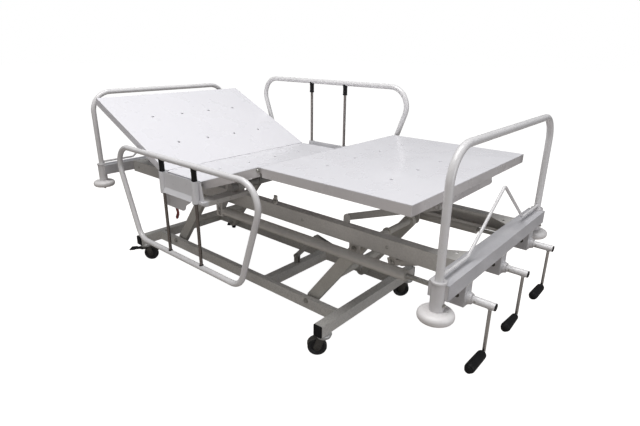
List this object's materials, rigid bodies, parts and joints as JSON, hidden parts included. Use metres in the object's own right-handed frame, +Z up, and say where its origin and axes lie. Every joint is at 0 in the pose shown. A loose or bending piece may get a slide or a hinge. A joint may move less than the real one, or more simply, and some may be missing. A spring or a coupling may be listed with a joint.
{
  "type": "fowler hospital bed",
  "caption": "Cranked fowler bed: sheet deck in hinged sections over a height-adjusting link frame, with sliding side rails, end bows and casters.",
  "frame": {"origin": "middle of the bounding box on the floor", "axes": "+X from the head end to the foot end with the cranks, +Y to the far side of the bed, +Z up"},
  "size_m": [2.209, 1.012, 1.0068],
  "materials": {
    "deck_white": "gloss white enamel on sheet steel",
    "bow_white": "gloss white enamel on tube",
    "frame_silver": "satin silver-grey paint",
    "base_grey": "satin silver-grey paint",
    "leg_silver": "satin silver-grey paint",
    "link_grey": "satin silver-grey paint",
    "socket_white": "gloss off-white paint",
    "bracket_white": "gloss off-white paint",
    "drive_grey": "satin silver-grey paint",
    "zinc_pin": "zinc plated",
    "bright_chrome": "polished",
    "black_plastic": "moulded black",
    "caster_fork": "moulded black",
    "wheel_black": "moulded black tread",
    "caster_plate": "light grey",
    "disc_white": "off-white moulding",
    "latch_red": "dark red"
  },
  "bodies": {
    "base": {"base_cross_tubes": "base_grey", "base_rails": "base_grey", "base_end_caps": "black_plastic", "base_pivot_bolts": "zinc_pin", "caster_plates": "caster_plate"},
    "legs_head": {"legs_head": "leg_silver"},
    "legs_foot": {"legs_foot": "leg_silver"},
    "lift_link": {"lift_link": "link_grey"},
    "lift_rocker": {"lift_rocker": "link_grey"},
    "upper_frame": {"frame_rails": "frame_silver", "frame_cross_members": "frame_silver", "post_sockets": "socket_white", "frame_brackets": "frame_silver", "frame_pins": "zinc_pin", "seat_panel": "deck_white", "deck_hinge_rods": "zinc_pin", "seat_bearers": "frame_silver", "crank_housings": "frame_silver", "rail_brackets": "bracket_white"},
    "lift_push_tube": {"lift_push_tube": "drive_grey"},
    "lift_screw": {"lift_screw": "zinc_pin"},
    "back_section": {"back_panel": "deck_white"},
    "back_rocker": {"back_rocker": "link_grey"},
    "back_push_tube": {"back_push_tube": "drive_grey"},
    "thigh_section": {"thigh_panel": "deck_white", "knee_hinge_rod": "zinc_pin"},
    "leg_section": {"leg_panel": "deck_white"},
    "leg_links": {"leg_links": "link_grey"},
    "knee_push_tube": {"knee_push_tube": "drive_grey"},
    "head_bow": {"head_bow": "bow_white"},
    "foot_bow": {"foot_bow": "bow_white"},
    "side_rail_near": {"side_rail_near": "bow_white", "rail_stems_near": "bright_chrome"},
    "side_rail_far": {"side_rail_far": "bow_white", "rail_stems_far": "bright_chrome"},
    "latch_near": {"rail_latch_near": "latch_red"},
    "latch_far": {"rail_latch_far": "latch_red"},
    "swivel_nh": {"caster_fork_nh": "caster_fork"},
    "wheel_nh": {"caster_wheel_nh": "wheel_black"},
    "swivel_fh": {"caster_fork_fh": "caster_fork"},
    "wheel_fh": {"caster_wheel_fh": "wheel_black"},
    "swivel_nf": {"caster_fork_nf": "caster_fork"},
    "wheel_nf": {"caster_wheel_nf": "wheel_black"},
    "swivel_ff": {"caster_fork_ff": "caster_fork"},
    "wheel_ff": {"caster_wheel_ff": "wheel_black"},
    "pedal_near": {"brake_pedal_near": "black_plastic"},
    "pedal_far": {"brake_pedal_far": "black_plastic"},
    "crank_back": {"crank_hub_back": "bow_white", "crank_arm_back": "bright_chrome"},
    "grip_back": {"crank_grip_back": "black_plastic"},
    "crank_lift": {"crank_hub_lift": "bow_white", "crank_arm_lift": "bright_chrome"},
    "grip_lift": {"crank_grip_lift": "black_plastic"},
    "crank_knee": {"crank_hub_knee": "bow_white", "crank_arm_knee": "bright_chrome"},
    "grip_knee": {"crank_grip_knee": "black_plastic"},
    "bumper_nh": {"bumper_nh": "disc_white"},
    "bumper_fh": {"bumper_fh": "disc_white"},
    "bumper_nf": {"bumper_nf": "disc_white"},
    "bumper_ff": {"bumper_ff": "disc_white"}
  },
  "joints": [
    {"name": "caster_swivel_nh", "type": "hinge", "parent": "base", "child": "swivel_nh", "pos_m": [-0.8805, -0.318, 0.09], "axis": [0, 0, 1], "continuous": true},
    {"name": "wheel_spin_nh", "type": "hinge", "parent": "swivel_nh", "child": "wheel_nh", "pos_m": [-0.86088, -0.30094, 0.04], "axis": [-0.6561, 0.7547, 0], "continuous": true},
    {"name": "caster_swivel_fh", "type": "hinge", "parent": "base", "child": "swivel_fh", "pos_m": [-0.8805, 0.318, 0.09], "axis": [0, 0, 1], "continuous": true},
    {"name": "wheel_spin_fh", "type": "hinge", "parent": "swivel_fh", "child": "wheel_fh", "pos_m": [-0.89721, 0.33792, 0.04], "axis": [-0.766, -0.6428, 0], "continuous": true},
    {"name": "caster_swivel_nf", "type": "hinge", "parent": "base", "child": "swivel_nf", "pos_m": [0.4685, -0.318, 0.09], "axis": [0, 0, 1], "continuous": true},
    {"name": "wheel_spin_nf", "type": "hinge", "parent": "swivel_nf", "child": "wheel_nf", "pos_m": [0.44888, -0.33506, 0.04], "axis": [0.6561, -0.7547, 0], "continuous": true},
    {"name": "caster_swivel_ff", "type": "hinge", "parent": "base", "child": "swivel_ff", "pos_m": [0.4685, 0.318, 0.09], "axis": [0, 0, 1], "continuous": true},
    {"name": "wheel_spin_ff", "type": "hinge", "parent": "swivel_ff", "child": "wheel_ff", "pos_m": [0.44888, 0.30094, 0.04], "axis": [0.6561, -0.7547, 0], "continuous": true},
    {"name": "brake_pedal_near", "type": "hinge", "parent": "swivel_nh", "child": "pedal_near", "pos_m": [-0.8971, -0.33243, 0.072], "axis": [-0.6561, 0.7547, 0], "range_deg": [-12, 0]},
    {"name": "brake_pedal_far", "type": "hinge", "parent": "swivel_fh", "child": "pedal_far", "pos_m": [-0.86636, 0.30115, 0.072], "axis": [-0.766, -0.6428, 0], "range_deg": [-12, 0]},
    {"name": "height", "type": "hinge", "parent": "base", "child": "legs_head", "pos_m": [-0.7015, 0, 0.14], "axis": [0, 1, 0], "range_deg": [-23.5, 20.5]},
    {"name": "frame_level", "type": "hinge", "parent": "legs_head", "child": "upper_frame", "pos_m": [-0.45799, 0, 0.45734], "axis": [0, 1, 0], "range_deg": [-20.6, 23.6]},
    {"name": "foot_legs", "type": "hinge", "parent": "base", "child": "legs_foot", "pos_m": [0.2915, 0, 0.14], "axis": [0, 1, 0], "range_deg": [-23.6, 20.6]},
    {"name": "lift_link_swing", "type": "hinge", "parent": "base", "child": "lift_link", "pos_m": [0.0205, 0, 0.194], "axis": [0, 1, 0], "range_deg": [-21.9, 19.1]},
    {"name": "lift_rocker_swing", "type": "hinge", "parent": "legs_foot", "child": "lift_rocker", "pos_m": [0.3889, 0, 0.26694], "axis": [0, 1, 0], "range_deg": [-22.5, 25.8]},
    {"name": "lift_tube_slide", "type": "slide", "parent": "upper_frame", "child": "lift_push_tube", "axis": [-0.9433, 0, -0.3321], "range_m": [-0.053, 0.047]},
    {"name": "back", "type": "hinge", "parent": "upper_frame", "child": "back_section", "pos_m": [-0.3595, 0, 0.63234], "axis": [0, 1, 0], "range_deg": [-25, 35]},
    {"name": "back_shaft", "type": "hinge", "parent": "upper_frame", "child": "back_rocker", "pos_m": [-0.1105, 0, 0.57734], "axis": [0, 1, 0], "range_deg": [-12, 16.7]},
    {"name": "back_tube_slide", "type": "slide", "parent": "upper_frame", "child": "back_push_tube", "axis": [-1, 0, 0], "range_m": [-0.0245, 0.034]},
    {"name": "thigh", "type": "hinge", "parent": "upper_frame", "child": "thigh_section", "pos_m": [-0.0975, 0, 0.63234], "axis": [0, 1, 0], "range_deg": [-16, 19]},
    {"name": "knee", "type": "hinge", "parent": "thigh_section", "child": "leg_section", "pos_m": [0.26085, 0, 0.75573], "axis": [0, 1, 0], "range_deg": [-19.1, 16.1]},
    {"name": "leg_link_swing", "type": "hinge", "parent": "upper_frame", "child": "leg_links", "pos_m": [0.4895, 0, 0.57034], "axis": [0, 1, 0], "range_deg": [-16.1, 19.1]},
    {"name": "knee_tube_slide", "type": "slide", "parent": "upper_frame", "child": "knee_push_tube", "axis": [-1, 0, 0], "range_m": [-0.0495, 0.0585]},
    {"name": "crank_back", "type": "hinge", "parent": "upper_frame", "child": "crank_back", "pos_m": [0.9825, -0.285, 0.45734], "axis": [1, 0, 0], "continuous": true},
    {"name": "grip_spin_back", "type": "hinge", "parent": "crank_back", "child": "grip_back", "pos_m": [1.0865, -0.346, 0.29234], "axis": [0, 1, 0], "continuous": true},
    {"name": "crank_lift", "type": "hinge", "parent": "upper_frame", "child": "crank_lift", "pos_m": [0.9825, 0, 0.45734], "axis": [1, 0, 0], "continuous": true},
    {"name": "grip_spin_lift", "type": "hinge", "parent": "crank_lift", "child": "grip_lift", "pos_m": [1.0865, -0.061, 0.29234], "axis": [0, 1, 0], "continuous": true},
    {"name": "crank_knee", "type": "hinge", "parent": "upper_frame", "child": "crank_knee", "pos_m": [0.9825, 0.285, 0.45734], "axis": [1, 0, 0], "continuous": true},
    {"name": "grip_spin_knee", "type": "hinge", "parent": "crank_knee", "child": "grip_knee", "pos_m": [1.0865, 0.224, 0.29234], "axis": [0, 1, 0], "continuous": true},
    {"name": "lift_screw_turn", "type": "hinge", "parent": "upper_frame", "child": "lift_screw", "pos_m": [0.9265, 0, 0.45734], "axis": [0.9433, 0, 0.3321], "continuous": true},
    {"name": "head_bow_lift", "type": "slide", "parent": "upper_frame", "child": "head_bow", "axis": [0, 0, 1], "range_m": [0, 0.1]},
    {"name": "foot_bow_lift", "type": "slide", "parent": "upper_frame", "child": "foot_bow", "axis": [0, 0, 1], "range_m": [0, 0.1]},
    {"name": "bumper_spin_nh", "type": "hinge", "parent": "upper_frame", "child": "bumper_nh", "pos_m": [-1.0495, -0.429, 0.45334], "axis": [0, 0, 1], "continuous": true},
    {"name": "bumper_spin_fh", "type": "hinge", "parent": "upper_frame", "child": "bumper_fh", "pos_m": [-1.0495, 0.429, 0.45334], "axis": [0, 0, 1], "continuous": true},
    {"name": "bumper_spin_nf", "type": "hinge", "parent": "upper_frame", "child": "bumper_nf", "pos_m": [0.9825, -0.429, 0.45334], "axis": [0, 0, 1], "continuous": true},
    {"name": "bumper_spin_ff", "type": "hinge", "parent": "upper_frame", "child": "bumper_ff", "pos_m": [0.9825, 0.429, 0.45334], "axis": [0, 0, 1], "continuous": true},
    {"name": "side_rail_near", "type": "slide", "parent": "upper_frame", "child": "side_rail_near", "axis": [0, 0, 1], "range_m": [0, 0.275]},
    {"name": "side_rail_far", "type": "slide", "parent": "upper_frame", "child": "side_rail_far", "axis": [0, 0, 1], "range_m": [-0.275, 0]},
    {"name": "latch_near", "type": "hinge", "parent": "upper_frame", "child": "latch_near", "pos_m": [-0.2845, -0.46, 0.50534], "axis": [0, 1, 0], "range_deg": [-25, 25]},
    {"name": "latch_far", "type": "hinge", "parent": "upper_frame", "child": "latch_far", "pos_m": [-0.2845, 0.46, 0.50534], "axis": [0, 1, 0], "range_deg": [-25, 25]}
  ],
  "couplings": [
    {"joint": "frame_level", "follows": "height", "ratio": -1},
    {"joint": "foot_legs", "follows": "height", "ratio": 1},
    {"joint": "lift_link_swing", "follows": "height", "ratio": 0.923},
    {"joint": "lift_rocker_swing", "follows": "height", "ratio": -1.09},
    {"joint": "lift_tube_slide", "follows": "height", "m_per_rad": 0.1266},
    {"joint": "back_shaft", "follows": "back", "ratio": 0.47},
    {"joint": "back_tube_slide", "follows": "back", "m_per_rad": 0.054},
    {"joint": "knee", "follows": "thigh", "ratio": -1},
    {"joint": "leg_link_swing", "follows": "thigh", "ratio": 1},
    {"joint": "knee_tube_slide", "follows": "thigh", "m_per_rad": 0.1726},
    {"joint": "lift_screw_turn", "follows": "crank_lift", "ratio": 1}
  ]
}
